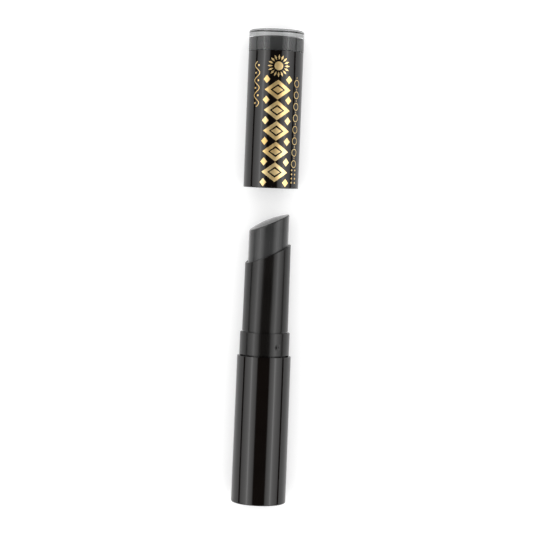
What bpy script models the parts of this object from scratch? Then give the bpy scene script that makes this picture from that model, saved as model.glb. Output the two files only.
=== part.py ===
"""Slim twist-up lipstick case, open, with its pull-off cap lying in line with it.

The case lies on its side. Its foot is centred on the origin and its long axis runs along +X.
Every piece is drawn upright, with heights measured up from the foot along local Z, and hangs
from an empty that lays the whole case down. Turning the guide against the casing drives the
carrier's lugs along a right-handed helical slot, which raises the colour bullet.
"""

from math import cos, pi, radians, sin, tan

import bmesh
import bpy
from mathutils import Matrix, Vector

MM = 0.001
SEGMENTS = 48
ARC_STEPS = 3
MERGE = 1e-6
RUNNING_GAP = 0.15 * MM
SEAM_GAP = 0.3 * MM

# Casing: the lower half that the hand holds
CASE_HEIGHT = 43.0 * MM
CASE_RADIUS = 8.0 * MM
CASE_TOP_RADIUS = 7.85 * MM
CASE_BORE = 7.15 * MM
FOOT_THICKNESS = 1.4 * MM
EDGE_ROUND = 0.35 * MM
CASE_RIM_ROUND = 0.12 * MM

# Spiral tube, fixed inside the casing
SPIRAL_RADIUS = CASE_BORE - RUNNING_GAP
SPIRAL_BORE = 6.6 * MM
SPIRAL_BOTTOM = 3.2 * MM
SPIRAL_TOP = 38.0 * MM
PITCH = 16.0 * MM
TURN_DOWN = radians(270)  # from the top of the travel, where the bullet rests, to the bottom
SPARE_TURN = radians(25)
HELIX_STEPS = 60

# Guide sleeve, which carries the slanted mouth and turns in the casing
GUIDE_RADIUS = SPIRAL_BORE - RUNNING_GAP
GUIDE_BORE = 5.95 * MM
GUIDE_BOTTOM = 1.9 * MM
FLANGE_RADIUS = 6.95 * MM
FLANGE_HEIGHT = 0.9 * MM
SLEEVE_BASE_RADIUS = 6.75 * MM
SLEEVE_MOUTH_RADIUS = 6.5 * MM
MOUTH_HEIGHT = 72.8 * MM
MOUTH_SLOPE = radians(23.8)
MOUTH_LOW_SIDE = radians(104)  # turn of the low side about the axis, from local +X

# Collar that the cap grips, pressed on the guide
COLLAR_BOTTOM = CASE_HEIGHT + SEAM_GAP
COLLAR_HEIGHT = 6.6 * MM
COLLAR_RADIUS = 7.26 * MM
COLLAR_FIT = 0.08 * MM
COLLAR_ROUND = 0.12 * MM
NUB_RADIUS = 0.5 * MM
NUB_RISE = 0.1 * MM
NUB_HEIGHT = COLLAR_BOTTOM + 2.6 * MM
NUB_TURNS = (radians(212), radians(32))
NUB_SEGMENTS = 12
NUB_RINGS = 8

# Drag ring between guide and casing
DRAG_HEIGHT = 40.0 * MM
DRAG_WIRE = 0.2 * MM
DRAG_SEGMENTS = 8

# Carrier and the colour bullet in its cup
CARRIER_RADIUS = GUIDE_BORE - RUNNING_GAP
CARRIER_BOTTOM = 25.6 * MM
STEM_BORE = 5.1 * MM
CUP_FLOOR = 60.0 * MM
CUP_FLOOR_THICKNESS = 1.0 * MM
CUP_BORE = 5.35 * MM
CUP_TOP = 67.0 * MM
LUG_HEIGHT = 27.0 * MM
LUG_RADIUS = 0.7 * MM
LUG_REACH = 6.9 * MM
LUG_SEGMENTS = 16
SLOT_WIDTH = 1.8 * MM
BULLET_RADIUS = 5.77 * MM
BULLET_ROOT_RADIUS = CUP_BORE - RUNNING_GAP
BULLET_FACE_HEIGHT = 82.1 * MM
BULLET_ROUND = 0.45 * MM
BULLET_ROUND_STEPS = 3
RIM_ANGLE = radians(40)  # edges sharper than this belong to the rim

# Cap, drawn with its rim at zero
CAP_LENGTH = 45.5 * MM
CAP_RADIUS = 8.0 * MM
CAP_SHELL_STEP = 0.03 * MM
CAP_SHELL_RADIUS = CAP_RADIUS - CAP_SHELL_STEP
CAP_BORE = 7.4 * MM
CAP_RIM_ROUND = 0.15 * MM
CAP_REST = 92.0 * MM
CLEAR_DISC = 1.95 * MM
WINDOW_BOTTOM = CAP_LENGTH - 6.1 * MM
WINDOW_BORE = 6.85 * MM
PLUG_RADIUS = CAP_BORE - RUNNING_GAP
PLUG_DEPTH = 2.4 * MM
CAP_ROUND = 0.5 * MM
INSERT_RADIUS = WINDOW_BORE - RUNNING_GAP
INSERT_BORE = 6.1 * MM
INSERT_FLOOR = 0.5 * MM
CAP_SEAM = 0.12 * MM


def clear_scene():
    for obj in list(bpy.data.objects):
        bpy.data.objects.remove(obj, do_unlink=True)


def make_collection(name):
    collection = bpy.data.collections.new(name)
    bpy.context.scene.collection.children.link(collection)
    return collection


def make_material(name, colour, roughness, metallic=0.0, transmission=0.0):
    material = bpy.data.materials.new(name)
    material.use_nodes = True
    shader = material.node_tree.nodes["Principled BSDF"]
    shader.inputs["Base Color"].default_value = (*colour, 1.0)
    shader.inputs["Roughness"].default_value = roughness
    shader.inputs["Metallic"].default_value = metallic
    shader.inputs["Transmission Weight"].default_value = transmission
    return material


def make_empty(name, collection, parent=None, height=0.0):
    empty = bpy.data.objects.new(name, None)
    collection.objects.link(empty)
    empty.parent = parent
    empty.location.z = height
    return empty


def place(obj, collection, parent, material=None):
    collection.objects.link(obj)
    obj.parent = parent
    if material:
        obj.data.materials.append(material)
    return obj


def rounded(profile):
    """The (radius, height, rounding) corners as (radius, height) points, with each rounding as an arc."""
    points = []
    for i, (radius, height, rounding) in enumerate(profile):
        corner = Vector((radius, height))
        if not rounding:
            points.append(corner)
            continue
        before = (Vector(profile[i - 1][:2]) - corner).normalized()
        after = (Vector(profile[(i + 1) % len(profile)][:2]) - corner).normalized()
        half = before.angle(after) / 2
        centre = corner + (before + after).normalized() * rounding / sin(half)
        start = corner + before * rounding / tan(half) - centre
        end = corner + after * rounding / tan(half) - centre
        sweep = start.angle_signed(end)
        for k in range(ARC_STEPS + 1):
            points.append(centre + Matrix.Rotation(-sweep * k / ARC_STEPS, 2) @ start)
    return points


def turned(name, profile, closed):
    """A profile of (radius, height, rounding) corners, turned about Z. The outer side runs downwards."""
    points = rounded(profile)
    mesh = bpy.data.meshes.new(name)
    edges = [(i, i + 1) for i in range(len(points) - 1)]
    if closed:
        edges.append((len(points) - 1, 0))
    mesh.from_pydata([(p.x, 0.0, p.y) for p in points], edges, [])
    obj = bpy.data.objects.new(name, mesh)
    screw = obj.modifiers.new("Turn", "SCREW")
    screw.axis = "Z"
    screw.angle = 2 * pi
    screw.steps = screw.render_steps = SEGMENTS
    screw.use_merge_vertices = True
    screw.merge_threshold = MERGE
    screw.use_smooth_shade = True
    return obj


def cut(obj, cutter, operation="DIFFERENCE"):
    cutter.hide_render = True
    cutter.display_type = "WIRE"
    boolean = obj.modifiers.new(cutter.name, "BOOLEAN")
    boolean.operation = operation
    boolean.solver = "EXACT"
    boolean.object = cutter


def box_cutter(name, size, centre, rotation=None):
    mesh = bpy.data.meshes.new(name)
    shape = bmesh.new()
    bmesh.ops.create_cube(shape, size=1.0)
    bmesh.ops.transform(shape, matrix=Matrix.Diagonal((*size, 1.0)), verts=shape.verts)
    shape.to_mesh(mesh)
    shape.free()
    obj = bpy.data.objects.new(name, mesh)
    obj.location = centre
    if rotation:
        obj.rotation_euler = rotation.to_euler()
    return obj


def slant_cutter(name, height):
    """A box whose lower face is the slanted plane that crosses the axis at this height."""
    side = 4 * CASE_RADIUS
    low_side = Vector((cos(MOUTH_LOW_SIDE), sin(MOUTH_LOW_SIDE), 0.0))
    tilt_axis = Vector((0.0, 0.0, 1.0)).cross(low_side)
    rotation = Matrix.Rotation(MOUTH_SLOPE, 3, tilt_axis)
    centre = Vector((0.0, 0.0, height)) + rotation @ Vector((0.0, 0.0, side / 2))
    return box_cutter(name, (side, side, side), centre, rotation)


def helix_cutter(name, start_turn):
    """The path of one lug: a square bar swept up a right-handed helix, closed at both ends."""
    sweep = TURN_DOWN + 2 * SPARE_TURN
    low = LUG_HEIGHT - (TURN_DOWN + SPARE_TURN) / (2 * pi) * PITCH
    inner, outer = SPIRAL_BORE - RUNNING_GAP, CASE_BORE
    half = SLOT_WIDTH / 2
    corners = ((outer, half), (outer, -half), (inner, -half), (inner, half))
    shape = bmesh.new()
    ring = [shape.verts.new((radius, 0.0, low + height)) for radius, height in corners]
    for i in range(len(ring)):
        shape.edges.new((ring[i], ring[(i + 1) % len(ring)]))
    bmesh.ops.spin(
        shape,
        geom=ring + list(shape.edges),
        axis=(0.0, 0.0, 1.0),
        cent=(0.0, 0.0, 0.0),
        dvec=(0.0, 0.0, sweep / (2 * pi) * PITCH / HELIX_STEPS),
        angle=sweep,
        steps=HELIX_STEPS,
    )
    bmesh.ops.holes_fill(shape, edges=shape.edges, sides=len(corners))
    bmesh.ops.rotate(
        shape,
        verts=shape.verts,
        cent=(0.0, 0.0, 0.0),
        matrix=Matrix.Rotation(start_turn - TURN_DOWN - SPARE_TURN, 3, "Z"),
    )
    bmesh.ops.recalc_face_normals(shape, faces=shape.faces)
    mesh = bpy.data.meshes.new(name)
    shape.to_mesh(mesh)
    shape.free()
    return bpy.data.objects.new(name, mesh)


def base_casing():
    """A deep cup with a little draft, closed by its flat foot."""
    profile = (
        (0.0, FOOT_THICKNESS, 0),
        (CASE_BORE, FOOT_THICKNESS, 0),
        (CASE_BORE, CASE_HEIGHT, 0),
        (CASE_TOP_RADIUS, CASE_HEIGHT, CASE_RIM_ROUND),
        (CASE_RADIUS, 0.0, EDGE_ROUND),
        (0.0, 0.0, 0),
    )
    return turned("base_casing", profile, closed=False)


def spiral_tube():
    """A plain tube, into which the two helical slots are cut."""
    profile = (
        (SPIRAL_RADIUS, SPIRAL_TOP, 0),
        (SPIRAL_RADIUS, SPIRAL_BOTTOM, 0),
        (SPIRAL_BORE, SPIRAL_BOTTOM, 0),
        (SPIRAL_BORE, SPIRAL_TOP, 0),
    )
    return turned("spiral_tube", profile, closed=True)


def guide_sleeve():
    """A long tube: flanged and slotted in the casing, stouter where it shows."""
    flange_top = GUIDE_BOTTOM + FLANGE_HEIGHT
    above_mouth = MOUTH_HEIGHT + CASE_RADIUS
    profile = (
        (SLEEVE_MOUTH_RADIUS, above_mouth, 0),
        (SLEEVE_BASE_RADIUS, COLLAR_BOTTOM, 0),
        (GUIDE_RADIUS, COLLAR_BOTTOM, 0),
        (GUIDE_RADIUS, flange_top, 0),
        (FLANGE_RADIUS, flange_top, 0),
        (FLANGE_RADIUS, GUIDE_BOTTOM, 0),
        (GUIDE_BORE, GUIDE_BOTTOM, 0),
        (GUIDE_BORE, above_mouth, 0),
    )
    return turned("guide_sleeve", profile, closed=True)


def lug_slot_cutter():
    """One box that opens both straight slots of the guide, as long as the lugs travel."""
    low = LUG_HEIGHT - TURN_DOWN / (2 * pi) * PITCH - SLOT_WIDTH / 2
    high = LUG_HEIGHT + SLOT_WIDTH / 2
    size = (2 * CASE_RADIUS, SLOT_WIDTH, high - low)
    return box_cutter("lug_slots", size, (0.0, 0.0, (low + high) / 2))


def collar():
    """The ring that the cap grips, with a rounded top edge."""
    bore = SLEEVE_BASE_RADIUS + COLLAR_FIT
    top = COLLAR_BOTTOM + COLLAR_HEIGHT
    profile = (
        (COLLAR_RADIUS, top, COLLAR_ROUND),
        (COLLAR_RADIUS, COLLAR_BOTTOM, 0),
        (bore, COLLAR_BOTTOM, 0),
        (bore, top, 0),
    )
    return turned("collar", profile, closed=True)


def nub_cutter(name, turn):
    """A low round bump that is joined to the collar, set half into its wall."""
    mesh = bpy.data.meshes.new(name)
    shape = bmesh.new()
    bmesh.ops.create_uvsphere(shape, u_segments=NUB_SEGMENTS, v_segments=NUB_RINGS, radius=NUB_RADIUS)
    flatten = Matrix.Diagonal((NUB_RISE * 2 / NUB_RADIUS, 1.0, 1.0, 1.0))
    bmesh.ops.transform(shape, matrix=flatten, verts=shape.verts)
    shape.to_mesh(mesh)
    shape.free()
    obj = bpy.data.objects.new(name, mesh)
    seat = COLLAR_RADIUS - NUB_RISE
    obj.location = (seat * cos(turn), seat * sin(turn), NUB_HEIGHT)
    obj.rotation_euler.z = turn
    return obj


def drag_ring():
    """A soft round-wire ring that gives the twist its drag."""
    middle = (CASE_BORE + GUIDE_RADIUS) / 2
    bpy.ops.mesh.primitive_torus_add(
        major_segments=SEGMENTS, minor_segments=DRAG_SEGMENTS, major_radius=middle, minor_radius=DRAG_WIRE
    )
    obj = bpy.context.object
    obj.name = "drag_ring"
    obj.location.z = DRAG_HEIGHT
    obj.data.shade_smooth()
    for collection in list(obj.users_collection):
        collection.objects.unlink(obj)
    return obj


def carrier():
    """A cup for the bullet on a long hollow stem."""
    floor_top = CUP_FLOOR + CUP_FLOOR_THICKNESS
    profile = (
        (0.0, floor_top, 0),
        (CUP_BORE, floor_top, 0),
        (CUP_BORE, CUP_TOP, 0),
        (CARRIER_RADIUS, CUP_TOP, 0),
        (CARRIER_RADIUS, CARRIER_BOTTOM, 0),
        (STEM_BORE, CARRIER_BOTTOM, 0),
        (STEM_BORE, CUP_FLOOR, 0),
        (0.0, CUP_FLOOR, 0),
    )
    return turned("carrier", profile, closed=False)


def lug(name, turn):
    """A short round peg that is joined to the stem and reaches into the helical slot."""
    root = (STEM_BORE + CARRIER_RADIUS) / 2
    mesh = bpy.data.meshes.new(name)
    shape = bmesh.new()
    bmesh.ops.create_cone(
        shape,
        cap_ends=True,
        segments=LUG_SEGMENTS,
        radius1=LUG_RADIUS,
        radius2=LUG_RADIUS,
        depth=LUG_REACH - root,
    )
    bmesh.ops.rotate(shape, verts=shape.verts, matrix=Matrix.Rotation(pi / 2, 3, "Y"))
    shape.to_mesh(mesh)
    shape.free()
    obj = bpy.data.objects.new(name, mesh)
    middle = (root + LUG_REACH) / 2
    obj.location = (middle * cos(turn), middle * sin(turn), LUG_HEIGHT)
    obj.rotation_euler.z = turn
    return obj


def bullet():
    """The colour stick: a narrow root in the cup and a stouter shaft above it."""
    root_bottom = CUP_FLOOR + CUP_FLOOR_THICKNESS + SEAM_GAP
    profile = (
        (0.0, BULLET_FACE_HEIGHT + CASE_RADIUS, 0),
        (BULLET_RADIUS, BULLET_FACE_HEIGHT + CASE_RADIUS, 0),
        (BULLET_RADIUS, CUP_TOP + SEAM_GAP, 0),
        (BULLET_ROOT_RADIUS, CUP_TOP + SEAM_GAP, 0),
        (BULLET_ROOT_RADIUS, root_bottom, 0),
        (0.0, root_bottom, 0),
    )
    return turned("bullet", profile, closed=False)


def round_the_rim(obj):
    """Rounds the sharp edge of the bullet's slanted face."""
    bevel = obj.modifiers.new("Rim", "BEVEL")
    bevel.width = BULLET_ROUND
    bevel.segments = BULLET_ROUND_STEPS
    bevel.limit_method = "ANGLE"
    bevel.angle_limit = RIM_ANGLE


def cap_shell():
    """The long outer tube of the cap."""
    top = WINDOW_BOTTOM - CAP_SEAM
    profile = (
        (CAP_SHELL_RADIUS, top, 0),
        (CAP_SHELL_RADIUS, 0.0, CAP_RIM_ROUND),
        (CAP_BORE, 0.0, CAP_RIM_ROUND),
        (CAP_BORE, top, 0),
    )
    return turned("cap_shell", profile, closed=True)


def cap_end():
    """The clear end: a thick disc, a window wall, and a plug that fits in the shell."""
    ceiling = CAP_LENGTH - CLEAR_DISC
    plug_bottom = WINDOW_BOTTOM - PLUG_DEPTH
    profile = (
        (0.0, CAP_LENGTH, 0),
        (CAP_RADIUS, CAP_LENGTH, CAP_ROUND),
        (CAP_RADIUS, WINDOW_BOTTOM, 0),
        (PLUG_RADIUS, WINDOW_BOTTOM, 0),
        (PLUG_RADIUS, plug_bottom, 0),
        (WINDOW_BORE, plug_bottom, 0),
        (WINDOW_BORE, ceiling, 0),
        (0.0, ceiling, 0),
    )
    return turned("cap_end", profile, closed=False)


def shade_insert():
    """The coloured cup that shows the shade through the clear end."""
    top = CAP_LENGTH - CLEAR_DISC - RUNNING_GAP
    bottom = WINDOW_BOTTOM + RUNNING_GAP
    ceiling = top - INSERT_FLOOR
    profile = (
        (0.0, top, 0),
        (INSERT_RADIUS, top, 0),
        (INSERT_RADIUS, bottom, 0),
        (INSERT_BORE, bottom, 0),
        (INSERT_BORE, ceiling, 0),
        (0.0, ceiling, 0),
    )
    return turned("shade_insert", profile, closed=False)


def build():
    clear_scene()
    parts = make_collection("lipstick_case")
    cutters = make_collection("cutters")

    black = make_material("gloss_black_plastic", (0.022, 0.020, 0.019), 0.16)
    inner_black = make_material("black_plastic", (0.03, 0.03, 0.03), 0.35)
    white = make_material("natural_plastic", (0.62, 0.62, 0.60), 0.45)
    rubber = make_material("drag_rubber", (0.05, 0.05, 0.05), 0.75)
    colour = make_material("matte_charcoal_colour", (0.085, 0.083, 0.082), 0.7)
    shade = make_material("shade_plastic", (0.18, 0.18, 0.18), 0.4)
    clear = make_material("clear_plastic", (0.92, 0.93, 0.93), 0.06, transmission=1.0)

    axis = make_empty("case_axis", parts)
    axis.rotation_euler.y = pi / 2
    turn = make_empty("guide_turn", parts, axis)
    lift = make_empty("bullet_lift", parts, turn)
    cap = make_empty("cap_slide", parts, axis, CAP_REST)

    place(base_casing(), parts, axis, black)
    spiral = place(spiral_tube(), parts, axis, white)
    for i in range(2):
        cut(spiral, place(helix_cutter(f"helix_{i}", i * pi), cutters, axis))
    place(drag_ring(), parts, axis, rubber)

    sleeve = place(guide_sleeve(), parts, turn, black)
    cut(sleeve, place(slant_cutter("mouth_slant", MOUTH_HEIGHT), cutters, turn))
    cut(sleeve, place(lug_slot_cutter(), cutters, turn))
    ring = place(collar(), parts, turn, black)
    for i, nub_turn in enumerate(NUB_TURNS):
        cut(ring, place(nub_cutter(f"nub_{i}", nub_turn), cutters, turn), "UNION")

    cup = place(carrier(), parts, lift, inner_black)
    for i in range(2):
        cut(cup, place(lug(f"lug_{i}", i * pi), cutters, lift), "UNION")
    stick = place(bullet(), parts, lift, colour)
    cut(stick, place(slant_cutter("bullet_slant", BULLET_FACE_HEIGHT), cutters, lift))
    round_the_rim(stick)

    place(cap_shell(), parts, cap, black)
    place(cap_end(), parts, cap, clear)
    place(shade_insert(), parts, cap, shade)


build()
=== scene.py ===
# %% [markdown]
# # A slim twist-up lipstick, open, with its cap pulled off
#
# The case lies on its side on a white table. Its long axis is X: the foot is at zero, then come the
# casing, the collar, the slanted sleeve and the colour bullet, and past a gap the cap. The packed
# model gives the overall size and every joint. This script makes the smooth surfaces and the finishes.

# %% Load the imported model
from math import cos, hypot, pi, radians, sin, tan

import bmesh
import bpy
from mathutils import Matrix, Vector


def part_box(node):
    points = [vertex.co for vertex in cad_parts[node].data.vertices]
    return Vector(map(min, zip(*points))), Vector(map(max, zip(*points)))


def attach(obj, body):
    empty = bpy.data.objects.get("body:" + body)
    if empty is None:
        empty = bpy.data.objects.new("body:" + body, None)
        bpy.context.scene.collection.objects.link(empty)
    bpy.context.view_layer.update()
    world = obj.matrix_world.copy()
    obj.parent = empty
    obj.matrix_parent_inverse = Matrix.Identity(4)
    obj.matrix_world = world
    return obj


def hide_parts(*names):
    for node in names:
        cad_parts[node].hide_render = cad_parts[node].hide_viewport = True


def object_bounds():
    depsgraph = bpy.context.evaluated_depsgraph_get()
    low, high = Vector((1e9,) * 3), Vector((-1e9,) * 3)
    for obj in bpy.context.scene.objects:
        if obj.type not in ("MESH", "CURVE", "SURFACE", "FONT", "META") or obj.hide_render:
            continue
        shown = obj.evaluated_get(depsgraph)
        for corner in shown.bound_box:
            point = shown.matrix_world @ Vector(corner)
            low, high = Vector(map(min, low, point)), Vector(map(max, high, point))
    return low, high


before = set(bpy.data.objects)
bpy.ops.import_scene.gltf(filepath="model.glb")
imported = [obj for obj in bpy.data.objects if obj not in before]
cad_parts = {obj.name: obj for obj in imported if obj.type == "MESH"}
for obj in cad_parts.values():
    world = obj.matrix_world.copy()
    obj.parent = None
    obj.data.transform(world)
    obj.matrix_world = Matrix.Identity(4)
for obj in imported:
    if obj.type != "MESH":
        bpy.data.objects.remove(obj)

MM = 0.001
cad_low, cad_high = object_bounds()
middle = (cad_low + cad_high) / 2

# %% [markdown]
# ## Reading the sizes off the model
#
# The ends of the turned pieces, and the outer radii of the casing, the cap tube and the clear end, come
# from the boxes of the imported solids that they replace, so a change there is followed here. A box says
# nothing about a bore, a step or a slot, so those sizes are written out below as the model has them.


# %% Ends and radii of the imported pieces
def ends(node):
    """Where a node starts and stops along the axis."""
    low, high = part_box(node)
    return low[0], high[0]


def radius_of(node):
    """The largest radius of a round node about the axis."""
    low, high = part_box(node)
    return max(high[1], high[2], -low[1], -low[2])


casing_foot, casing_top = ends("base_casing")
collar_bottom, collar_top = ends("collar")
shell_rim, shell_top = ends("cap_shell")
cap_plug, cap_tip = ends("cap_end")
casing_radius = radius_of("base_casing")
shell_radius = radius_of("cap_shell")
print("casing", round(casing_radius / MM, 2), "mm and cap shell", round(shell_radius / MM, 2), "mm in radius")

# %% [markdown]
# ## Turning a piece
#
# Almost everything on a lipstick is round, so it can be drawn as half of its cross-section and spun
# about the axis. The spin copies the outline many times and merges its last copy with its first.
# Points on the axis fall on top of each other, so doubles are merged afterwards, and only then are the
# normals worked out. A bevel on the sharp rings comes last, because a moulded edge is never knife-sharp
# and that small round is what catches the light.

# %% Spin an outline and round its edges
TURN_STEPS = 192
SHARP = radians(30)
RING_TOLERANCE = 0.02 * MM
MERGE_DISTANCE = 1e-6
CUT_TOLERANCE = 1e-7


def spun(outline, closed, steps=TURN_STEPS):
    """A bmesh from an outline of (place along the axis, radius) points, spun about X."""
    shape = bmesh.new()
    line = [shape.verts.new((x, 0.0, radius)) for x, radius in outline]
    pairs = list(zip(line, line[1:]))
    if closed:
        pairs.append((line[-1], line[0]))
    edges = [shape.edges.new(pair) for pair in pairs]
    bmesh.ops.spin(
        shape, geom=line + edges, cent=(0, 0, 0), axis=(1, 0, 0), angle=2 * pi, steps=steps, use_merge=True
    )
    bmesh.ops.remove_doubles(shape, verts=shape.verts, dist=MERGE_DISTANCE)
    bmesh.ops.dissolve_degenerate(shape, edges=shape.edges, dist=CUT_TOLERANCE)
    bmesh.ops.recalc_face_normals(shape, faces=shape.faces)
    return shape


def round_rings(shape, x, radius, width, segments=4):
    """Rounds the sharp ring at this place along the axis and this radius."""

    def on_ring(vert):
        off_radius = abs(hypot(vert.co.y, vert.co.z) - radius)
        return abs(vert.co.x - x) < RING_TOLERANCE and off_radius < RING_TOLERANCE

    ring = [edge for edge in shape.edges if all(on_ring(vert) for vert in edge.verts)]
    bmesh.ops.bevel(
        shape, geom=ring, offset=width, offset_type="OFFSET", affect="EDGES",
        segments=segments, profile=0.5, material=-1, clamp_overlap=True,
    )


def finish_piece(shape, name, body, node=None, smooth=SHARP):
    """Makes the object, shades it, and ties it to the body that it moves with."""
    mesh = bpy.data.meshes.new(name)
    shape.to_mesh(mesh)
    shape.free()
    piece = bpy.data.objects.new(name, mesh)
    bpy.context.scene.collection.objects.link(piece)
    mesh.shade_smooth()
    mesh.set_sharp_from_angle(angle=smooth)
    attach(piece, body)
    if node:
        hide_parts(node)
    print(name, "has", len(mesh.polygons), "faces and rides on", body)
    return piece


# %% [markdown]
# ## The casing
#
# The casing is the half that the hand holds: one deep, thin-walled moulding. It is a little wider at
# the foot than at the top, because a mould has to let go of it. The foot is flat with a soft edge.

# %% Casing
DRAFT = 0.15 * MM
CASING_BORE = 7.15 * MM
FOOT_THICKNESS = 1.4 * MM
FOOT_ROUND = 0.5 * MM
RIM_ROUND = 0.12 * MM
CASING_RIM_ROUND = 0.08 * MM
BEVEL_STEPS = 5

casing_rim_radius = casing_radius - DRAFT
shape = spun(
    [
        (casing_foot + FOOT_THICKNESS, 0.0),
        (casing_foot + FOOT_THICKNESS, CASING_BORE),
        (casing_top, CASING_BORE),
        (casing_top, casing_rim_radius),
        (casing_foot, casing_radius),
        (casing_foot, 0.0),
    ],
    closed=False,
)
round_rings(shape, casing_foot, casing_radius, FOOT_ROUND, BEVEL_STEPS)
round_rings(shape, casing_top, casing_rim_radius, CASING_RIM_ROUND)
casing = finish_piece(shape, "casing", "base", "base_casing")

# %% [markdown]
# ## The collar and its nubs
#
# The cap slides over this band, and two small bumps on it snap into the cap. A bump that belongs to the
# moulding is best pushed out of the band's own mesh, so the band is spun finely and its points are
# moved outwards where they are close to a bump, with a flat crown and steep flanks, and a little
# inwards in a ring round it, which lets the bump spring.

# %% Collar
COLLAR_STEPS = 480
COLLAR_ROWS = 66
COLLAR_RADIUS = 7.26 * MM
COLLAR_BORE = 6.85 * MM
COLLAR_ROUND = 0.15 * MM
SMALL_ROUND_STEPS = 3
NUB_RISE = 0.1 * MM
NUB_REACH = 0.85 * MM
NUB_CROWN = 0.55
NUB_FLANK = 0.18
MOAT_DEPTH = 0.09 * MM
NUB_PLACE = collar_bottom + 2.6 * MM
NUB_TURNS = (radians(32), radians(212))

rows = [collar_bottom + (collar_top - collar_bottom) * i / COLLAR_ROWS for i in range(COLLAR_ROWS + 1)]
outside = [(x, COLLAR_RADIUS) for x in rows]
inside = [(x, COLLAR_BORE) for x in (collar_top, collar_bottom)]
shape = spun(outside + inside, closed=True, steps=COLLAR_STEPS)
round_rings(shape, collar_top, COLLAR_RADIUS, COLLAR_ROUND, SMALL_ROUND_STEPS)
round_rings(shape, collar_bottom, COLLAR_RADIUS, RIM_ROUND, SMALL_ROUND_STEPS)
for turn in NUB_TURNS:
    centre = Vector((NUB_PLACE, -sin(turn) * COLLAR_RADIUS, cos(turn) * COLLAR_RADIUS))
    for vert in shape.verts:
        away = (vert.co - centre).length / NUB_REACH
        if away < NUB_CROWN:
            push = NUB_RISE * min(1.0, (NUB_CROWN - away) / NUB_FLANK)
        elif away < 1.0:
            push = -MOAT_DEPTH * sin(pi * (away - NUB_CROWN) / (1.0 - NUB_CROWN))
        else:
            continue
        vert.co += Vector((0.0, vert.co.y, vert.co.z)).normalized() * push
collar = finish_piece(shape, "collar_band", "guide", "collar")

# %% [markdown]
# ## The slanted sleeve
#
# The sleeve guards the bullet. It carries on down inside the casing, where two straight slots guide the
# carrier's lugs. A fine groove runs round it just above the collar and shows as a dark line. The sleeve
# is spun long and then cut by a slanted plane. The plane's height at the axis comes from the packed
# sleeve's highest point and the slope.

# %% Sleeve
SLOPE = radians(23.8)
LOW_SIDE_TURN = radians(14)
SLEEVE_BASE_RADIUS = 6.75 * MM
SLEEVE_MOUTH_RADIUS = 6.5 * MM
SLEEVE_BORE = 5.95 * MM
GUIDE_RADIUS = 6.45 * MM
FLANGE_RADIUS = 6.95 * MM
FLANGE_HEIGHT = 0.9 * MM
LIP_ROUND = 0.12 * MM
GROOVE_WIDTH = 0.4 * MM
GROOVE_DEPTH = 0.3 * MM
SPARE = 8 * MM

guide_bottom, mouth_high = ends("guide_sleeve")
low_side = Vector((0.0, cos(LOW_SIDE_TURN), sin(LOW_SIDE_TURN)))
face_normal = (Vector((1.0, 0.0, 0.0)) * cos(SLOPE) + low_side * sin(SLOPE)).normalized()
mouth_height = mouth_high - tan(SLOPE) * SLEEVE_MOUTH_RADIUS
print("the mouth crosses the axis at", round(mouth_height / MM, 2), "mm")
mouth_point = Vector((mouth_height, 0.0, 0.0))
taper = (SLEEVE_BASE_RADIUS - SLEEVE_MOUTH_RADIUS) / (mouth_height + SPARE - collar_bottom)
groove_radius = SLEEVE_BASE_RADIUS - taper * (collar_top - collar_bottom)


def slice_slanted(shape, point):
    """Cuts everything past the slanted plane away and returns the cut's edges."""
    cut = bmesh.ops.bisect_plane(
        shape, geom=shape.verts[:] + shape.edges[:] + shape.faces[:],
        plane_co=point, plane_no=face_normal, clear_outer=True, dist=CUT_TOLERANCE,
    )
    return [item for item in cut["geom_cut"] if isinstance(item, bmesh.types.BMEdge)]


shape = spun(
    [
        (mouth_height + SPARE, SLEEVE_MOUTH_RADIUS),
        (collar_top + GROOVE_WIDTH, groove_radius),
        (collar_top + GROOVE_WIDTH, groove_radius - GROOVE_DEPTH),
        (collar_top, groove_radius - GROOVE_DEPTH),
        (collar_top, groove_radius),
        (collar_bottom, SLEEVE_BASE_RADIUS),
        (collar_bottom, GUIDE_RADIUS),
        (guide_bottom + FLANGE_HEIGHT, GUIDE_RADIUS),
        (guide_bottom + FLANGE_HEIGHT, FLANGE_RADIUS),
        (guide_bottom, FLANGE_RADIUS),
        (guide_bottom, SLEEVE_BORE),
        (mouth_height + SPARE, SLEEVE_BORE),
    ],
    closed=True,
)
rim_edges = slice_slanted(shape, mouth_point)
bmesh.ops.bridge_loops(shape, edges=rim_edges)
lip = [edge for edge in rim_edges if edge.is_valid]
bmesh.ops.bevel(
    shape, geom=lip, offset=LIP_ROUND, offset_type="OFFSET", affect="EDGES",
    segments=SMALL_ROUND_STEPS, profile=0.5, material=-1, clamp_overlap=True,
)
bmesh.ops.recalc_face_normals(shape, faces=shape.faces)
sleeve = finish_piece(shape, "slanted_sleeve", "guide", "guide_sleeve")

# %% [markdown]
# ## The slots for the carrier's lugs
#
# Two straight slots face each other across the guide, low down inside the casing. One long block cuts
# both at once. The Boolean modifier is applied by reading the finished mesh back, because a live
# modifier would need its cutter to stay in the scene.

# %% Cut the two lug slots
SLOT_WIDTH = 1.8 * MM
SLOT_LOW = 14.1 * MM
SLOT_HIGH = 27.9 * MM
SLOT_REACH = 3 * GUIDE_RADIUS


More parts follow.
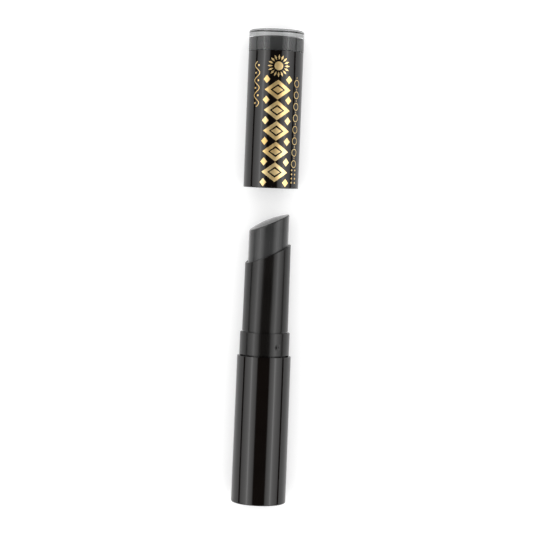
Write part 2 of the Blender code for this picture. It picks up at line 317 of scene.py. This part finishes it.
def cut_away(piece, cutter_shape):
    """Cuts a shape out of a piece and keeps the result as the piece's own mesh."""
    mesh = bpy.data.meshes.new("cutter")
    cutter_shape.to_mesh(mesh)
    cutter_shape.free()
    cutter = bpy.data.objects.new("cutter", mesh)
    bpy.context.scene.collection.objects.link(cutter)
    boolean = piece.modifiers.new("Cut", "BOOLEAN")
    boolean.object = cutter
    boolean.solver = "EXACT"
    bpy.context.view_layer.update()
    evaluated = piece.evaluated_get(bpy.context.evaluated_depsgraph_get())
    piece.data = bpy.data.meshes.new_from_object(evaluated)
    piece.modifiers.clear()
    bpy.data.objects.remove(cutter, do_unlink=True)


slots = bmesh.new()
bmesh.ops.create_cube(slots, size=1.0)
bmesh.ops.scale(slots, verts=slots.verts, vec=(SLOT_HIGH - SLOT_LOW, SLOT_WIDTH, SLOT_REACH))
bmesh.ops.translate(slots, verts=slots.verts, vec=((SLOT_LOW + SLOT_HIGH) / 2, 0, 0))
cut_away(sleeve, slots)
print("the slotted sleeve has", len(sleeve.data.polygons), "faces")

# %% [markdown]
# ## The colour bullet
#
# The bullet is cast in a mould, so its face is a little crowned and its edges are soft. It is spun, cut
# by the same slant as the mouth, and closed. Insetting the new face a few times and lifting each ring
# a little less than the last crowns it.

# %% Bullet
BULLET_RADIUS = 5.77 * MM
BULLET_ROOT = 5.2 * MM
BULLET_STEP = 67.3 * MM
BULLET_FACE = 82.1 * MM
BULLET_EDGE = 0.5 * MM
CROWN_RINGS = 6
CROWN_INSET = 0.85 * MM
CROWN_RISE = 0.035 * MM
BULLET_EDGE_STEPS = 6
BULLET_SHARP = radians(50)
ALONG_THE_SLANT = 0.99

bullet_bottom, _ = ends("bullet")
shape = spun(
    [
        (BULLET_FACE + SPARE, 0.0),
        (BULLET_FACE + SPARE, BULLET_RADIUS),
        (BULLET_STEP, BULLET_RADIUS),
        (BULLET_STEP, BULLET_ROOT),
        (bullet_bottom, BULLET_ROOT),
        (bullet_bottom, 0.0),
    ],
    closed=False,
)
face_edges = slice_slanted(shape, Vector((BULLET_FACE, 0.0, 0.0)))
bmesh.ops.contextual_create(shape, geom=face_edges)
bmesh.ops.bevel(
    shape, geom=face_edges, offset=BULLET_EDGE, offset_type="OFFSET", affect="EDGES",
    segments=BULLET_EDGE_STEPS, profile=0.5, material=-1, clamp_overlap=True,
)
face = [
    f for f in shape.faces
    if len(f.verts) > TURN_STEPS // 2 and f.normal.dot(face_normal) > ALONG_THE_SLANT
]
for ring in range(CROWN_RINGS):
    bmesh.ops.inset_region(shape, faces=face, thickness=CROWN_INSET, use_even_offset=True)
    lift = face_normal * CROWN_RISE * (CROWN_RINGS - ring)
    bmesh.ops.translate(shape, verts=list({v for f in face for v in f.verts}), vec=lift)
bmesh.ops.triangulate(shape, faces=face)
bullet = finish_piece(shape, "colour_bullet", "bullet_lift", "bullet", smooth=BULLET_SHARP)

# %% [markdown]
# ## The cap
#
# The cap is a long thin tube, open at both ends until the clear end is plugged into one of them. It is
# one outline spun, with a soft round on the rim that the fingers feel and a crisp one at the join.

# %% Cap shell
SHELL_BORE = 7.4 * MM
SHELL_ROUND = 0.09 * MM
SEAM_ROUND = 0.05 * MM
SEAM_STEPS = 2

shape = spun(
    [(shell_top, shell_radius), (shell_rim, shell_radius), (shell_rim, SHELL_BORE), (shell_top, SHELL_BORE)],
    closed=True,
)
round_rings(shape, shell_rim, shell_radius, SHELL_ROUND)
round_rings(shape, shell_rim, SHELL_BORE, SHELL_ROUND)
round_rings(shape, shell_top, shell_radius, SEAM_ROUND, SEAM_STEPS)
shell = finish_piece(shape, "cap_tube", "cap", "cap_shell")

# %% [markdown]
# ## The clear end
#
# The clear end is a plug with a bright rounded tip. Its last two millimetres are solid and the rest is a
# wall round the shade cup. A clear piece has to be a closed shell with its inside modelled too, because
# light bends at every surface it meets, so the outline runs from the tip round to the ceiling inside.

# %% Clear end
WINDOW_LENGTH = 6.1 * MM
WINDOW_BORE = 6.85 * MM
PLUG_RADIUS = 7.25 * MM
CLEAR_DISC = 1.95 * MM
TIP_ROUND = 0.6 * MM
TIP_STEPS = 6

window_bottom = cap_tip - WINDOW_LENGTH
window_radius = radius_of("cap_end")
ceiling = cap_tip - CLEAR_DISC
shape = spun(
    [
        (cap_tip, 0.0),
        (cap_tip, window_radius),
        (window_bottom, window_radius),
        (window_bottom, PLUG_RADIUS),
        (cap_plug, PLUG_RADIUS),
        (cap_plug, WINDOW_BORE),
        (ceiling, WINDOW_BORE),
        (ceiling, 0.0),
    ],
    closed=False,
)
round_rings(shape, cap_tip, window_radius, TIP_ROUND, TIP_STEPS)
round_rings(shape, window_bottom, window_radius, SEAM_ROUND, SEAM_STEPS)
clear_end = finish_piece(shape, "clear_end", "cap", "cap_end")

# %% [markdown]
# ## The shade cup
#
# Behind the clear wall sits a small cup in the bullet's colour, which shows the shade. It is pressed
# tightly against the wall, with no film of air left between them. With air there, the wall would act as
# a mirror near its sides and hide the shade, so the cup is made a hair wider than the wall's bore.

# %% Shade cup
CUP_PRESS = 0.03 * MM
CUP_RADIUS = WINDOW_BORE + CUP_PRESS
CUP_BORE = 6.1 * MM
CUP_FLOOR = 0.5 * MM

cup_bottom, cup_top = ends("shade_insert")
shape = spun(
    [
        (cup_top, 0.0),
        (cup_top, CUP_RADIUS),
        (cup_bottom, CUP_RADIUS),
        (cup_bottom, CUP_BORE),
        (cup_top - CUP_FLOOR, CUP_BORE),
        (cup_top - CUP_FLOOR, 0.0),
    ],
    closed=False,
)
round_rings(shape, cup_top, CUP_RADIUS, RIM_ROUND)
shade_cup = finish_piece(shape, "shade_cup", "cap", "shade_insert")

# %% [markdown]
# ## The gold foil ornament
#
# The cap is hot-stamped with gold foil. The pattern is drawn flat, with its first coordinate along the
# case and its second across it, out of circles and four-sided circles, which are lozenges. The flat
# sheet is then sliced into narrow strips so that it can bend, thickened, and wrapped round the tube.

# %% Tools for flat foil shapes
FOIL_LIFT = 0.004 * MM
FOIL_THICKNESS = 0.014 * MM
STRIP = 0.35 * MM


def flat_circle(shape, along, across, half_length, half_width, segments, hollow=0.0):
    """A filled circle or lozenge. With hollow set, only a band of that width along its edge."""
    made = bmesh.ops.create_circle(shape, cap_ends=True, radius=1.0, segments=segments)
    verts = made["verts"]
    if segments != 4:
        bmesh.ops.rotate(shape, verts=verts, matrix=Matrix.Rotation(pi / segments, 3, "Z"))
    bmesh.ops.scale(shape, verts=verts, vec=(half_length, half_width, 1.0))
    bmesh.ops.translate(shape, verts=verts, vec=(along, across, 0.0))
    faces = list({face for vert in verts for face in vert.link_faces})
    if hollow:
        bmesh.ops.inset_region(
            shape, faces=faces, thickness=hollow, use_boundary=True, use_even_offset=True
        )
        bmesh.ops.delete(shape, geom=faces, context="FACES_ONLY")
    return verts


def flat_bar(shape, along, across, length, width):
    """A plain bar."""
    made = bmesh.ops.create_grid(shape, x_segments=1, y_segments=1, size=0.5)
    bmesh.ops.scale(shape, verts=made["verts"], vec=(length, width, 1.0))
    bmesh.ops.translate(shape, verts=made["verts"], vec=(along, across, 0.0))


def flat_wave(shape, start, end, across, swing, waves, width, steps=96):
    """A thin ribbon that sways from side to side, made by extruding one short edge step by step."""

    def point(i, side):
        t = i / steps
        phase = 2 * pi * waves * t
        slope = swing * 2 * pi * waves / (end - start) * cos(2 * pi * waves * t)
        normal = Vector((-slope, 1.0, 0.0)).normalized()
        return Vector((start + (end - start) * t, across + swing * sin(phase), 0.0)) + normal * side

    half = width / 2
    edge = shape.edges.new([shape.verts.new(point(0, side)) for side in (-half, half)])
    for i in range(1, steps + 1):
        made = bmesh.ops.extrude_edge_only(shape, edges=[edge])["geom"]
        verts = [item for item in made if isinstance(item, bmesh.types.BMVert)]
        new_edges = [item for item in made if isinstance(item, bmesh.types.BMEdge)]
        edge = next(item for item in new_edges if all(v in verts for v in item.verts))
        for vert in verts:
            side = min((half, -half), key=lambda reach: (vert.co - point(i - 1, reach)).length)
            vert.co = point(i, side)


def wrap_foil(shape, radius):
    """Slices the flat sheet along the case, thickens it, and bends it round the tube."""
    low = min(v.co.y for v in shape.verts)
    high = max(v.co.y for v in shape.verts)
    strips = int((high - low) / STRIP)
    for i in range(1, strips + 1):
        bmesh.ops.bisect_plane(
            shape, geom=shape.verts[:] + shape.edges[:] + shape.faces[:],
            plane_co=(0, low + i * STRIP, 0), plane_no=(0, 1, 0), dist=CUT_TOLERANCE,
        )
    bmesh.ops.recalc_face_normals(shape, faces=shape.faces)
    bottom = shape.faces[:]
    made = bmesh.ops.extrude_face_region(shape, geom=bottom, use_keep_orig=True)["geom"]
    top = [item for item in made if isinstance(item, bmesh.types.BMVert)]
    bmesh.ops.translate(shape, verts=top, vec=(0, 0, FOIL_THICKNESS))
    for vert in shape.verts:
        turn = vert.co.y / radius
        out = radius + FOIL_LIFT + vert.co.z
        vert.co = Vector((vert.co.x, -sin(turn) * out, cos(turn) * out))
    bmesh.ops.recalc_face_normals(shape, faces=shape.faces)


# %% [markdown]
# The ornament has four parts: a bold column of nested lozenges with filled corners, a sunburst above
# it, a chain of fine rings on one side, and a swaying line with beads on the other.

# %% Bold column and sunburst
COLUMN_START = 1.45 * MM
COLUMN_UNITS = 5
UNIT_LENGTH = 5.9 * MM
COLUMN_MIDDLE = 0.95 * MM
COLUMN_WIDTH = 7.7 * MM
BAND = 1.0 * MM
BURST_PLACE = 34.8 * MM
BURST_CORE = 1.25 * MM
BURST_INNER = 1.7 * MM
BURST_OUTER = 3.3 * MM
BURST_RAYS = 16
RAY_HALF_WIDTH = 0.3 * MM
LOZENGE = 4
DISC = 48
UNIT_GAP = 0.12 * MM
CORE_LENGTH, CORE_WIDTH = 0.17, 0.2
CORNER_LENGTH, CORNER_WIDTH, CORNER_PLACE = 0.2, 0.13, 0.43

bold = bmesh.new()
unit_half = UNIT_LENGTH / 2 - UNIT_GAP
for unit in range(COLUMN_UNITS):
    centre = shell_rim + COLUMN_START + UNIT_LENGTH * (unit + 0.5)
    flat_circle(bold, centre, COLUMN_MIDDLE, unit_half, COLUMN_WIDTH / 2, LOZENGE, hollow=BAND)
    flat_circle(bold, centre, COLUMN_MIDDLE, UNIT_LENGTH * CORE_LENGTH, COLUMN_WIDTH * CORE_WIDTH, LOZENGE)
for unit in range(COLUMN_UNITS + 1):
    seam = shell_rim + COLUMN_START + UNIT_LENGTH * unit
    for side in (-1, 1):
        corner = COLUMN_MIDDLE + side * COLUMN_WIDTH * CORNER_PLACE
        flat_circle(bold, seam, corner, UNIT_LENGTH * CORNER_LENGTH, COLUMN_WIDTH * CORNER_WIDTH, LOZENGE)

burst = shell_rim + BURST_PLACE
ray_middle = (BURST_INNER + BURST_OUTER) / 2
ray_half = (BURST_OUTER - BURST_INNER) / 2
flat_circle(bold, burst, COLUMN_MIDDLE, BURST_CORE, BURST_CORE, DISC)
for ray in range(BURST_RAYS):
    spoke = Matrix.Rotation(2 * pi * ray / BURST_RAYS, 3, "Z")
    ray_verts = flat_circle(bold, ray_middle, 0.0, ray_half, RAY_HALF_WIDTH, LOZENGE)
    bmesh.ops.rotate(bold, verts=ray_verts, matrix=spoke)
    bmesh.ops.translate(bold, verts=ray_verts, vec=(burst, COLUMN_MIDDLE, 0.0))
wrap_foil(bold, shell_radius)
foil_bold = finish_piece(bold, "foil_column", "cap")

# %% [markdown]
# The fine lines are drawn at one width, so that they read as one hand's work beside the bold column.
# The chain starts with a few rows of small dots. The swaying line has a bead in each of its bends.

# %% Chain of rings and the swaying line
CHAIN_ACROSS = 7.3 * MM
CHAIN_START = 7.0 * MM
CHAIN_STEP = 3.3 * MM
CHAIN_RINGS = 8
FINE = 0.2 * MM
WAVE_START = 23.0 * MM
WAVE_END = 36.0 * MM
WAVE_ACROSS = -5.6 * MM
WAVE_SWING = 0.9 * MM
WAVES = 3
RING_RADIUS = 1.1 * MM
RING_SEGMENTS = 40
LINK_LENGTH = 0.5 * MM
DOT_ROWS = 4
DOT_START = 1.6
DOT_STEP = 1.2
DOT_ASIDE = 0.75 * MM
DOT_RADIUS = 0.35 * MM
BEAD_ASIDE = 0.5 * MM
BEAD_RADIUS = 0.28 * MM
BEAD_SEGMENTS = 20

fine = bmesh.new()
for i in range(CHAIN_RINGS):
    place = shell_rim + CHAIN_START + CHAIN_STEP * i
    flat_circle(fine, place, CHAIN_ACROSS, RING_RADIUS, RING_RADIUS, RING_SEGMENTS, hollow=FINE)
    flat_bar(fine, place + CHAIN_STEP / 2, CHAIN_ACROSS, LINK_LENGTH, FINE)
for i in range(DOT_ROWS):
    place = shell_rim + (DOT_START + DOT_STEP * i) * MM
    for side in (-1, 1):
        flat_circle(fine, place, CHAIN_ACROSS + side * DOT_ASIDE, DOT_RADIUS, DOT_RADIUS, LOZENGE)
flat_wave(fine, shell_rim + WAVE_START, shell_rim + WAVE_END, WAVE_ACROSS, WAVE_SWING, WAVES, FINE)
beads = 2 * WAVES
for i in range(beads):
    place = shell_rim + WAVE_START + (WAVE_END - WAVE_START) * ((i + 0.5) / beads)
    side = 1 if i % 2 == 0 else -1
    flat_circle(fine, place, WAVE_ACROSS - side * BEAD_ASIDE, BEAD_RADIUS, BEAD_RADIUS, BEAD_SEGMENTS)
wrap_foil(fine, shell_radius)
foil_fine = finish_piece(fine, "foil_fine_lines", "cap")

# %% [markdown]
# ## Small helpers for materials
#
# A material is a graph of nodes. Two helpers keep the graphs short: one adds a node and sets or links
# its inputs, the other starts a material and returns its Principled shader.


# %% Node helpers
def add_node(tree, kind, values=None, **settings):
    """Adds a node. A value that is a socket is linked, anything else is set."""
    node = tree.nodes.new(kind)
    for key, value in settings.items():
        setattr(node, key, value)
    for key, value in (values or {}).items():
        if isinstance(value, bpy.types.NodeSocket):
            tree.links.new(value, node.inputs[key])
        else:
            node.inputs[key].default_value = value
    return node


def start_material(name, **plain):
    """A material with one Principled shader, whose plain inputs are set here."""
    material = bpy.data.materials.new(name)
    material.use_nodes = True
    shader = material.node_tree.nodes["Principled BSDF"]
    for key, value in plain.items():
        shader.inputs[key.replace("_", " ")].default_value = value
    return material, material.node_tree, shader


def start_group(name, inputs, outputs):
    """A node group with named sockets: (name, type, default) going in and (name, type) coming out."""
    group = bpy.data.node_groups.new(name, "ShaderNodeTree")
    for label, kind, default in inputs:
        socket = group.interface.new_socket(name=label, in_out="INPUT", socket_type=kind)
        if default is not None:
            socket.default_value = default
    for label, kind in outputs:
        group.interface.new_socket(name=label, in_out="OUTPUT", socket_type=kind)
    return group, group.nodes.new("NodeGroupInput"), group.nodes.new("NodeGroupOutput")


# %% [markdown]
# ## One group for every moulded surface
#
# A plastic moulding that looks perfect still has three faint things on it: slow waves where it shrank,
# fine lines along the way it left the mould, and a scatter of tiny specks. The group makes all three
# from noise on object coordinates. It gives out a tone, a streak value, a speck mask and a bumped
# normal. How deep the waves and the grain are is an input, so each material can ask for its own.

# %% Moulded surface group
SOFT_DETAIL = 2.0
STREAK_DETAIL = 3.0
STREAK_SCALE = 5200.0
STREAK_STRETCH = (0.02, 1.0, 1.0)
SPECK_SCALE = 900.0
SPECK_CORE = 0.02
SPECK_EDGE = 0.07
WAVE_DEPTH = 0.4 * MM
GRAIN_DEPTH = 0.05 * MM

group, group_in, group_out = start_group(
    "moulded_surface",
    [
        ("Vector", "NodeSocketVector", None),
        ("Wave Scale", "NodeSocketFloat", 120.0),
        ("Grain Scale", "NodeSocketFloat", 6000.0),
        ("Wave Height", "NodeSocketFloat", 0.1),
        ("Grain Height", "NodeSocketFloat", 0.05),
    ],
    [
        ("Tone", "NodeSocketFloat"),
        ("Streak", "NodeSocketFloat"),
        ("Specks", "NodeSocketFloat"),
        ("Normal", "NodeSocketVector"),
    ],
)
spot_at = group_in.outputs["Vector"]
waves = add_node(
    group, "ShaderNodeTexNoise",
    {"Vector": spot_at, "Scale": group_in.outputs["Wave Scale"], "Detail": SOFT_DETAIL},
)
lengthways = add_node(group, "ShaderNodeMapping", {"Vector": spot_at, "Scale": STREAK_STRETCH})
streaks = add_node(
    group, "ShaderNodeTexNoise",
    {"Vector": lengthways.outputs["Vector"], "Scale": STREAK_SCALE, "Detail": STREAK_DETAIL},
)
grain = add_node(
    group, "ShaderNodeTexNoise",
    {"Vector": spot_at, "Scale": group_in.outputs["Grain Scale"], "Detail": SOFT_DETAIL},
)
spots = add_node(
    group, "ShaderNodeTexVoronoi", {"Vector": spot_at, "Scale": SPECK_SCALE, "Randomness": 1.0}
)
speck_mask = add_node(
    group, "ShaderNodeMapRange",
    {
        "Value": spots.outputs["Distance"],
        "From Min": SPECK_CORE,
        "From Max": SPECK_EDGE,
        "To Min": 1.0,
        "To Max": 0.0,
    },
)
wave_bump = add_node(
    group, "ShaderNodeBump",
    {
        "Height": waves.outputs["Fac"],
        "Strength": group_in.outputs["Wave Height"],
        "Distance": WAVE_DEPTH,
    },
)
grain_bump = add_node(
    group, "ShaderNodeBump",
    {
        "Height": grain.outputs["Fac"],
        "Strength": group_in.outputs["Grain Height"],
        "Distance": GRAIN_DEPTH,
        "Normal": wave_bump.outputs["Normal"],
    },
)
for label, socket in (
    ("Tone", waves.outputs["Fac"]),
    ("Streak", streaks.outputs["Fac"]),
    ("Specks", speck_mask.outputs["Result"]),
    ("Normal", grain_bump.outputs["Normal"]),
):
    group.links.new(socket, group_out.inputs[label])
given = [item.name for item in group.interface.items_tree if item.in_out == "OUTPUT"]
print("group", group.name, "gives", given)

# %% [markdown]
# ## A material from the group
#
# Every moulded finish here is the same recipe with its own amounts: the colour runs between two tones
# with the slow waves, specks lift it a little, and the roughness runs between two values with the
# streaks. A number that is the same all over, such as a sheen, goes straight onto the shader.

# %% Moulded material
SPECK_LIGHT = 0.5
TONE_LOW, TONE_HIGH = 0.3, 0.7


def moulded(
    name, dark, light, rough_low, rough_high, wave=0.1, grain_height=0.05, grain_scale=6000.0, **plain
):
    """A moulded material: its colour runs between two tones and its roughness follows the streaks."""
    material, tree, shader = start_material(name, **plain)
    coordinates = add_node(tree, "ShaderNodeTexCoord")
    surface = add_node(tree, "ShaderNodeGroup", node_tree=group)
    tree.links.new(coordinates.outputs["Object"], surface.inputs["Vector"])
    surface.inputs["Wave Height"].default_value = wave
    surface.inputs["Grain Height"].default_value = grain_height
    surface.inputs["Grain Scale"].default_value = grain_scale
    tone = add_node(
        tree, "ShaderNodeMath",
        {0: surface.outputs["Specks"], 1: SPECK_LIGHT, 2: surface.outputs["Tone"]},
        operation="MULTIPLY_ADD",
    )
    ramp = add_node(tree, "ShaderNodeValToRGB", {"Fac": tone.outputs["Value"]})
    stops = ramp.color_ramp.elements
    stops[0].position, stops[0].color = TONE_LOW, (*dark, 1.0)
    stops[1].position, stops[1].color = TONE_HIGH, (*light, 1.0)
    tree.links.new(ramp.outputs["Color"], shader.inputs["Base Color"])
    rough = add_node(
        tree, "ShaderNodeMapRange",
        {
            "Value": surface.outputs["Streak"],
            "From Min": TONE_LOW,
            "From Max": TONE_HIGH,
            "To Min": rough_low,
            "To Max": rough_high,
        },
    )
    tree.links.new(rough.outputs["Result"], shader.inputs["Roughness"])
    tree.links.new(surface.outputs["Normal"], shader.inputs["Normal"])
    print("finish", name, "is", rough_low, "to", rough_high, "rough")
    return material


def grey(value):
    """A neutral tone."""
    return (value, value, value)


# %% [markdown]
# ## The finishes
#
# The casing and the cap are polished black with a breath of warmth. The sleeve comes from a duller
# mould. The bullet is wax, so it is soft and a little powdery, which sheen gives. The clear end is
# acrylic, and the print is gold foil, which is never quite flat on its tube.

# %% Blacks and greys
gloss_black = moulded(
    "gloss_black", (0.0028, 0.0018, 0.0014), (0.0042, 0.0028, 0.0022), 0.06, 0.12,
    wave=0.02, grain_height=0.01,
)
sleeve_black = moulded(
    "sleeve_black", (0.0036, 0.0030, 0.0026), (0.0052, 0.0044, 0.0038), 0.17, 0.24,
    wave=0.03, grain_height=0.015, Specular_IOR_Level=0.43,
)
wax = moulded(
    "charcoal_wax", grey(0.022), grey(0.029), 0.22, 0.28,
    wave=0.12, grain_height=0.10, grain_scale=9000.0,
    Sheen_Weight=0.85, Sheen_Roughness=0.35, Specular_IOR_Level=0.4,
)
shade_black = moulded("shade_charcoal", grey(0.062), grey(0.076), 0.16, 0.26, wave=0.03)
carrier_black = moulded("carrier_black", grey(0.016), grey(0.024), 0.3, 0.42, wave=0.06)
rubber = moulded("drag_rubber", grey(0.018), grey(0.03), 0.6, 0.8, grain_height=0.3)

# %% Natural plastic, clear plastic and gold foil
natural = moulded("natural_plastic", (0.52, 0.52, 0.50), (0.62, 0.62, 0.60), 0.35, 0.5, wave=0.08)
clear = moulded(
    "clear_plastic", (0.87, 0.88, 0.88), (0.91, 0.92, 0.92), 0.01, 0.04,
    wave=0.02, grain_height=0.005, Transmission_Weight=1.0, IOR=1.49,
)
gold = moulded(
    "gold_foil", (0.78, 0.52, 0.20), (0.95, 0.74, 0.38), 0.28, 0.42,
    wave=0.15, grain_height=0.12, Metallic=0.85,
)

# %% [markdown]
# ## Putting the finishes on
#
# A piece made here takes one finish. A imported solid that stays, such as the spiral tube, keeps its mesh
# and only has the material in its slots changed.

# %% Give each piece its finish
for piece, material in (
    (casing, gloss_black),
    (shell, gloss_black),
    (collar, sleeve_black),
    (sleeve, sleeve_black),
    (bullet, wax),
    (clear_end, clear),
    (shade_cup, shade_black),
    (foil_bold, gold),
    (foil_fine, gold),
):
    piece.data.materials.clear()
    piece.data.materials.append(material)
    print(piece.name, "is", material.name)

for node, material in (("spiral_tube", natural), ("drag_ring", rubber), ("carrier", carrier_black)):
    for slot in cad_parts[node].material_slots:
        slot.material = material
    print(node, "is", material.name)

# %% [markdown]
# ## The table, the lights and the camera
#
# The table glows a little by itself, like a light table, which keeps the shadow beside the case pale.
# Only what is seen straight on or through the clear end gets that glow. If the black tubes mirrored
# it, they would look grey.

# %% Table
TABLE_SIZE = 4.0
TABLE_TONE = (0.86, 0.86, 0.86, 1.0)
TABLE_ROUGHNESS = 0.9
SHADOW_LIFT = 0.27
WHITE = (1.0, 1.0, 1.0, 1.0)

table = bmesh.new()
bmesh.ops.create_grid(table, x_segments=1, y_segments=1, size=TABLE_SIZE / 2)
bmesh.ops.translate(table, verts=table.verts, vec=(middle.x, middle.y, cad_low.z))
mesh = bpy.data.meshes.new("table")
table.to_mesh(mesh)
table.free()
floor = bpy.data.objects.new("table", mesh)
bpy.context.scene.collection.objects.link(floor)
floor_paint, tree, shader = start_material(
    "table_white", Base_Color=TABLE_TONE, Roughness=TABLE_ROUGHNESS, Specular_IOR_Level=0.0,
    Emission_Color=WHITE,
)
mesh.materials.append(floor_paint)
path = add_node(tree, "ShaderNodeLightPath")
seen = add_node(
    tree, "ShaderNodeMath",
    {0: path.outputs["Is Camera Ray"], 1: path.outputs["Is Transmission Ray"]},
    operation="MAXIMUM",
)
lift = add_node(tree, "ShaderNodeMath", {0: seen.outputs["Value"], 1: SHADOW_LIFT}, operation="MULTIPLY")
tree.links.new(lift.outputs["Value"], shader.inputs["Emission Strength"])
print("the table is", TABLE_SIZE, "m across")

# %% [markdown]
# A round glossy tube shows its surroundings as stripes along its length, so the lights are drawn as
# those stripes. On each side of the case an arched card glows from just past overhead down to just
# above the table, brightest along a line half-way. A dark strip stands on the table below each card,
# where the tube would mirror the far table. The cards only show in reflections. A broad soft sun lights
# the table evenly, and stays out of the reflections.
#
# Each card is a curved sheet with its glow stored on its points, so one simple material reads it and
# the glow fades smoothly from row to row.

# %% Glowing cards
CARD_DISTANCE = 0.40
CARD_LENGTH = 1.4
CARD_GLOW = (
    (24, 0.0),
    (28, 1.2),
    (42, 2.1),
    (47, 2.6),
    (50, 4.4),
    (53, 2.9),
    (60, 2.1),
    (70, 1.65),
    (84, 1.05),
    (87, 0.0),
)
FLAG_DISTANCE = 0.16
FLAG_GLOW = ((86, 0.0), (99, 0.0))


def arched_card(name, side, stops, distance):
    """A card bent round the case, from (angle from straight up, glow) stops on one side of it."""
    shape = bmesh.new()
    glow = shape.verts.layers.float.new("glow")

    def point(x, angle, value):
        turn = radians(angle)
        vert = shape.verts.new((x, side * sin(turn) * distance, cos(turn) * distance))
        vert[glow] = value
        return vert

    near, far = middle.x - CARD_LENGTH / 2, middle.x + CARD_LENGTH / 2
    rows = [(point(near, *stop), point(far, *stop)) for stop in stops]
    for low, high in zip(rows, rows[1:]):
        shape.faces.new((low[0], low[1], high[1], high[0]))
    mesh = bpy.data.meshes.new(name)
    shape.to_mesh(mesh)
    shape.free()
    card = bpy.data.objects.new(name, mesh)
    bpy.context.scene.collection.objects.link(card)
    material = bpy.data.materials.new(name)
    material.use_nodes = True
    tree = material.node_tree
    tree.nodes.clear()
    strength = add_node(tree, "ShaderNodeAttribute", attribute_name="glow")
    light = add_node(tree, "ShaderNodeEmission", {"Strength": strength.outputs["Fac"]})
    out = add_node(tree, "ShaderNodeOutputMaterial")
    tree.links.new(light.outputs["Emission"], out.inputs["Surface"])
    mesh.materials.append(material)
    card.visible_camera = False
    card.visible_diffuse = False
    card.visible_transmission = False
    card.visible_shadow = False
    print(name, "spans", stops[0][0], "to", stops[-1][0], "degrees from straight up")


for side, label in ((1, "left"), (-1, "right")):
    arched_card(f"card_{label}", side, CARD_GLOW, CARD_DISTANCE)
    arched_card(f"flag_{label}", side, FLAG_GLOW, FLAG_DISTANCE)

# %% [markdown]
# The sun gives the soft, nearly shadowless daylight of a big tent. The world does four jobs at once, so
# it asks each ray what it is: a ray straight from the camera sees white, a ray that went through the
# clear end sees a middle grey, which keeps the clear plastic from vanishing against white, a mirrored
# ray sees almost nothing, so the black stays black, and everything else gets a little fill.

# %% Soft sun and world
SUN_STRENGTH = 2.75
SUN_SPREAD = radians(110)
ROOM_FILL = 0.30
MIRRORED = 0.03
THROUGH_CLEAR = 0.55
BACKDROP = 0.97

sun_data = bpy.data.lights.new("soft_sun", "SUN")
sun_data.energy = SUN_STRENGTH
sun_data.angle = SUN_SPREAD
sun = bpy.data.objects.new("soft_sun", sun_data)
bpy.context.scene.collection.objects.link(sun)
sun.visible_glossy = False
sun.visible_transmission = False

world = bpy.data.worlds.new("studio")
bpy.context.scene.world = world
world.use_nodes = True
tree = world.node_tree
tree.nodes.clear()
path = add_node(tree, "ShaderNodeLightPath")
light = add_node(tree, "ShaderNodeBackground", {"Color": WHITE, "Strength": ROOM_FILL}).outputs["Background"]
for ray, strength in (
    ("Is Glossy Ray", MIRRORED),
    ("Is Transmission Ray", THROUGH_CLEAR),
    ("Is Camera Ray", BACKDROP),
):
    other = add_node(tree, "ShaderNodeBackground", {"Color": WHITE, "Strength": strength})
    mix = add_node(
        tree, "ShaderNodeMixShader", {"Fac": path.outputs[ray], 1: light, 2: other.outputs["Background"]}
    )
    light = mix.outputs["Shader"]
    print("world:", ray, "sees", strength)
add_node(tree, "ShaderNodeOutputWorld", {"Surface": light})

# %% [markdown]
# The camera looks almost straight down, a little from the cap's end, so each ring shows as a shallow
# arc. A long lens keeps the tube's sides parallel.

# %% Camera
LENS = 115.0
SENSOR = 36.0
FRAME_WIDTH = 0.156
LEAN = radians(2.3)
CAMERA_ALONG = 85 * MM

distance = FRAME_WIDTH * LENS / SENSOR
camera_data = bpy.data.cameras.new("camera")
camera_data.lens = LENS
camera_data.sensor_width = SENSOR
camera = bpy.data.objects.new("camera", camera_data)
bpy.context.scene.collection.objects.link(camera)
camera.location = (CAMERA_ALONG, 0.0, distance)
sight = Vector((middle.x, 0.0, 0.0)) - camera.location
up = Matrix.Rotation(LEAN, 3, "Z") @ Vector((1.0, 0.0, 0.0))
right = sight.cross(up).normalized()
up = right.cross(sight).normalized()
camera.rotation_euler = Matrix((right, up, -sight.normalized())).transposed().to_euler()
bpy.context.scene.camera = camera
bpy.context.scene.view_settings.view_transform = "Standard"
print("the camera is", round(distance, 3), "m above the table")
